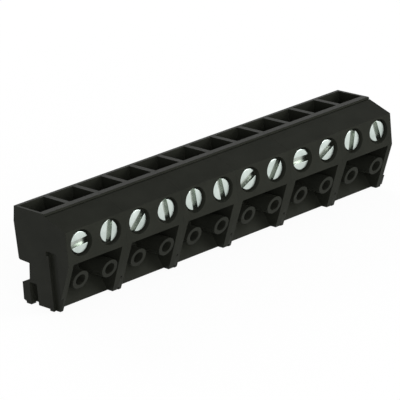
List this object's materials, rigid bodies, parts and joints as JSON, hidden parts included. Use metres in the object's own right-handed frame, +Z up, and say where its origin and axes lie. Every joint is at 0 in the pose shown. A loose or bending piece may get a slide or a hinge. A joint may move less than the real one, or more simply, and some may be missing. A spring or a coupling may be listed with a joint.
{
  "type": "pcb terminal block",
  "caption": "Pluggable screw terminal block of interlocked two-pole modules, with wire wells on top, slotted clamp screws in front and test-probe tubes below.",
  "frame": {"origin": "centre of the bounding box at its bottom face", "axes": "+X along the row of poles, -Y the way the screw heads face, +Z up towards the wire wells"},
  "size_m": [0.0604, 0.0108, 0.0136],
  "materials": {
    "black_plastic": "finely textured moulding",
    "contact_metal": "plain stamped",
    "cage_metal": "nickel plated",
    "screw_metal": "zinc plated"
  },
  "bodies": {
    "block": {"housing_1": "black_plastic", "housing_2": "black_plastic", "housing_3": "black_plastic", "housing_4": "black_plastic", "housing_5": "black_plastic", "housing_6": "black_plastic", "contact_1": "contact_metal", "contact_2": "contact_metal", "contact_3": "contact_metal", "contact_4": "contact_metal", "contact_5": "contact_metal", "contact_6": "contact_metal", "contact_7": "contact_metal", "contact_8": "contact_metal", "contact_9": "contact_metal", "contact_10": "contact_metal", "contact_11": "contact_metal", "contact_12": "contact_metal"},
    "clamp_screw_1": {"screw_1": "screw_metal"},
    "clamp_cage_1": {"cage_1": "cage_metal"},
    "clamp_screw_2": {"screw_2": "screw_metal"},
    "clamp_cage_2": {"cage_2": "cage_metal"},
    "clamp_screw_3": {"screw_3": "screw_metal"},
    "clamp_cage_3": {"cage_3": "cage_metal"},
    "clamp_screw_4": {"screw_4": "screw_metal"},
    "clamp_cage_4": {"cage_4": "cage_metal"},
    "clamp_screw_5": {"screw_5": "screw_metal"},
    "clamp_cage_5": {"cage_5": "cage_metal"},
    "clamp_screw_6": {"screw_6": "screw_metal"},
    "clamp_cage_6": {"cage_6": "cage_metal"},
    "clamp_screw_7": {"screw_7": "screw_metal"},
    "clamp_cage_7": {"cage_7": "cage_metal"},
    "clamp_screw_8": {"screw_8": "screw_metal"},
    "clamp_cage_8": {"cage_8": "cage_metal"},
    "clamp_screw_9": {"screw_9": "screw_metal"},
    "clamp_cage_9": {"cage_9": "cage_metal"},
    "clamp_screw_10": {"screw_10": "screw_metal"},
    "clamp_cage_10": {"cage_10": "cage_metal"},
    "clamp_screw_11": {"screw_11": "screw_metal"},
    "clamp_cage_11": {"cage_11": "cage_metal"},
    "clamp_screw_12": {"screw_12": "screw_metal"},
    "clamp_cage_12": {"cage_12": "cage_metal"}
  },
  "joints": [
    {"name": "screw_turn_1", "type": "hinge", "parent": "block", "child": "clamp_screw_1", "pos_m": [-0.02773, -0.00537, 0.00977], "axis": [0, 1, 0], "range_deg": [0, 1260.5]},
    {"name": "cage_rise_1", "type": "slide", "parent": "block", "child": "clamp_cage_1", "axis": [0, -1, 0], "range_m": [0, 0.00158]},
    {"name": "screw_turn_2", "type": "hinge", "parent": "block", "child": "clamp_screw_2", "pos_m": [-0.02273, -0.00537, 0.00977], "axis": [0, 1, 0], "range_deg": [0, 1260.5]},
    {"name": "cage_rise_2", "type": "slide", "parent": "block", "child": "clamp_cage_2", "axis": [0, -1, 0], "range_m": [0, 0.00158]},
    {"name": "screw_turn_3", "type": "hinge", "parent": "block", "child": "clamp_screw_3", "pos_m": [-0.01773, -0.00537, 0.00977], "axis": [0, 1, 0], "range_deg": [0, 1260.5]},
    {"name": "cage_rise_3", "type": "slide", "parent": "block", "child": "clamp_cage_3", "axis": [0, -1, 0], "range_m": [0, 0.00158]},
    {"name": "screw_turn_4", "type": "hinge", "parent": "block", "child": "clamp_screw_4", "pos_m": [-0.01273, -0.00537, 0.00977], "axis": [0, 1, 0], "range_deg": [0, 1260.5]},
    {"name": "cage_rise_4", "type": "slide", "parent": "block", "child": "clamp_cage_4", "axis": [0, -1, 0], "range_m": [0, 0.00158]},
    {"name": "screw_turn_5", "type": "hinge", "parent": "block", "child": "clamp_screw_5", "pos_m": [-0.00773, -0.00537, 0.00977], "axis": [0, 1, 0], "range_deg": [0, 1260.5]},
    {"name": "cage_rise_5", "type": "slide", "parent": "block", "child": "clamp_cage_5", "axis": [0, -1, 0], "range_m": [0, 0.00158]},
    {"name": "screw_turn_6", "type": "hinge", "parent": "block", "child": "clamp_screw_6", "pos_m": [-0.00273, -0.00537, 0.00977], "axis": [0, 1, 0], "range_deg": [0, 1260.5]},
    {"name": "cage_rise_6", "type": "slide", "parent": "block", "child": "clamp_cage_6", "axis": [0, -1, 0], "range_m": [0, 0.00158]},
    {"name": "screw_turn_7", "type": "hinge", "parent": "block", "child": "clamp_screw_7", "pos_m": [0.00227, -0.00537, 0.00977], "axis": [0, 1, 0], "range_deg": [0, 1260.5]},
    {"name": "cage_rise_7", "type": "slide", "parent": "block", "child": "clamp_cage_7", "axis": [0, -1, 0], "range_m": [0, 0.00158]},
    {"name": "screw_turn_8", "type": "hinge", "parent": "block", "child": "clamp_screw_8", "pos_m": [0.00727, -0.00537, 0.00977], "axis": [0, 1, 0], "range_deg": [0, 1260.5]},
    {"name": "cage_rise_8", "type": "slide", "parent": "block", "child": "clamp_cage_8", "axis": [0, -1, 0], "range_m": [0, 0.00158]},
    {"name": "screw_turn_9", "type": "hinge", "parent": "block", "child": "clamp_screw_9", "pos_m": [0.01227, -0.00537, 0.00977], "axis": [0, 1, 0], "range_deg": [0, 1260.5]},
    {"name": "cage_rise_9", "type": "slide", "parent": "block", "child": "clamp_cage_9", "axis": [0, -1, 0], "range_m": [0, 0.00158]},
    {"name": "screw_turn_10", "type": "hinge", "parent": "block", "child": "clamp_screw_10", "pos_m": [0.01727, -0.00537, 0.00977], "axis": [0, 1, 0], "range_deg": [0, 1260.5]},
    {"name": "cage_rise_10", "type": "slide", "parent": "block", "child": "clamp_cage_10", "axis": [0, -1, 0], "range_m": [0, 0.00158]},
    {"name": "screw_turn_11", "type": "hinge", "parent": "block", "child": "clamp_screw_11", "pos_m": [0.02227, -0.00537, 0.00977], "axis": [0, 1, 0], "range_deg": [0, 1260.5]},
    {"name": "cage_rise_11", "type": "slide", "parent": "block", "child": "clamp_cage_11", "axis": [0, -1, 0], "range_m": [0, 0.00158]},
    {"name": "screw_turn_12", "type": "hinge", "parent": "block", "child": "clamp_screw_12", "pos_m": [0.02727, -0.00537, 0.00977], "axis": [0, 1, 0], "range_deg": [0, 1260.5]},
    {"name": "cage_rise_12", "type": "slide", "parent": "block", "child": "clamp_cage_12", "axis": [0, -1, 0], "range_m": [0, 0.00158]}
  ],
  "couplings": [
    {"joint": "screw_turn_1", "follows": "cage_rise_1", "rad_per_m": 13963},
    {"joint": "screw_turn_2", "follows": "cage_rise_2", "rad_per_m": 13963},
    {"joint": "screw_turn_3", "follows": "cage_rise_3", "rad_per_m": 13963},
    {"joint": "screw_turn_4", "follows": "cage_rise_4", "rad_per_m": 13963},
    {"joint": "screw_turn_5", "follows": "cage_rise_5", "rad_per_m": 13963},
    {"joint": "screw_turn_6", "follows": "cage_rise_6", "rad_per_m": 13963},
    {"joint": "screw_turn_7", "follows": "cage_rise_7", "rad_per_m": 13963},
    {"joint": "screw_turn_8", "follows": "cage_rise_8", "rad_per_m": 13963},
    {"joint": "screw_turn_9", "follows": "cage_rise_9", "rad_per_m": 13963},
    {"joint": "screw_turn_10", "follows": "cage_rise_10", "rad_per_m": 13963},
    {"joint": "screw_turn_11", "follows": "cage_rise_11", "rad_per_m": 13963},
    {"joint": "screw_turn_12", "follows": "cage_rise_12", "rad_per_m": 13963}
  ]
}
